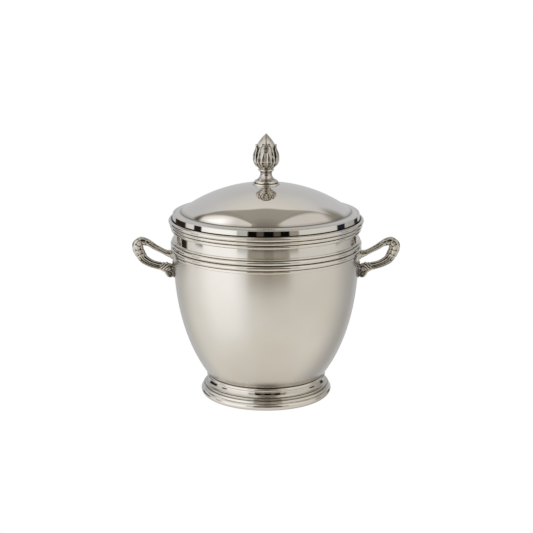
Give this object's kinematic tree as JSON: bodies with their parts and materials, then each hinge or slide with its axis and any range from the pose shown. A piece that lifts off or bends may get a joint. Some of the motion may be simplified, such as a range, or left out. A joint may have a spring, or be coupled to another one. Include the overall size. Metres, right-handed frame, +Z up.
{
  "type": "sugar bowl",
  "caption": "Round covered sugar bowl on a moulded foot, with loop handles and a domed lift-off lid with a bud finial.",
  "frame": {"origin": "centre of the flat ring that the foot stands on, on the bowl's axis", "axes": "+Z up along the bowl's axis, X through both handles, -Y towards the front"},
  "size_m": [0.1366, 0.0986, 0.1346],
  "materials": {
    "polished_silver": "spun sheet, polished to a mirror, slightly warm",
    "cast_silver": "cast and polished, dark tarnish left in the hollows",
    "fixings": "turned stud, washer and hexagon nut"
  },
  "bodies": {
    "bowl": {"bowl_shell": "polished_silver", "rim_mount": "polished_silver", "girdle_band": "polished_silver", "foot_collar": "polished_silver", "foot_ring": "polished_silver", "foot_base_wire": "polished_silver", "handle_left": "cast_silver", "handle_right": "cast_silver", "handle_collar_left": "cast_silver", "handle_collar_right": "cast_silver", "handle_plate_left": "cast_silver", "handle_plate_right": "cast_silver"},
    "lid_guide": {"lid_bezel": "polished_silver"},
    "lid": {"lid_dome": "polished_silver", "lid_rim_band": "polished_silver", "finial_pedestal": "cast_silver", "finial_calyx": "cast_silver", "finial_bud": "cast_silver", "finial_stud": "fixings", "finial_washer": "fixings", "finial_nut": "fixings"}
  },
  "joints": [
    {"name": "lid_lift", "type": "slide", "parent": "bowl", "child": "lid_guide", "axis": [0, 0, 1], "range_m": [0, 0.08]},
    {"name": "lid_turn", "type": "hinge", "parent": "lid_guide", "child": "lid", "pos_m": [0, 0, 0.0937], "axis": [0, 0, 1], "continuous": true}
  ]
}
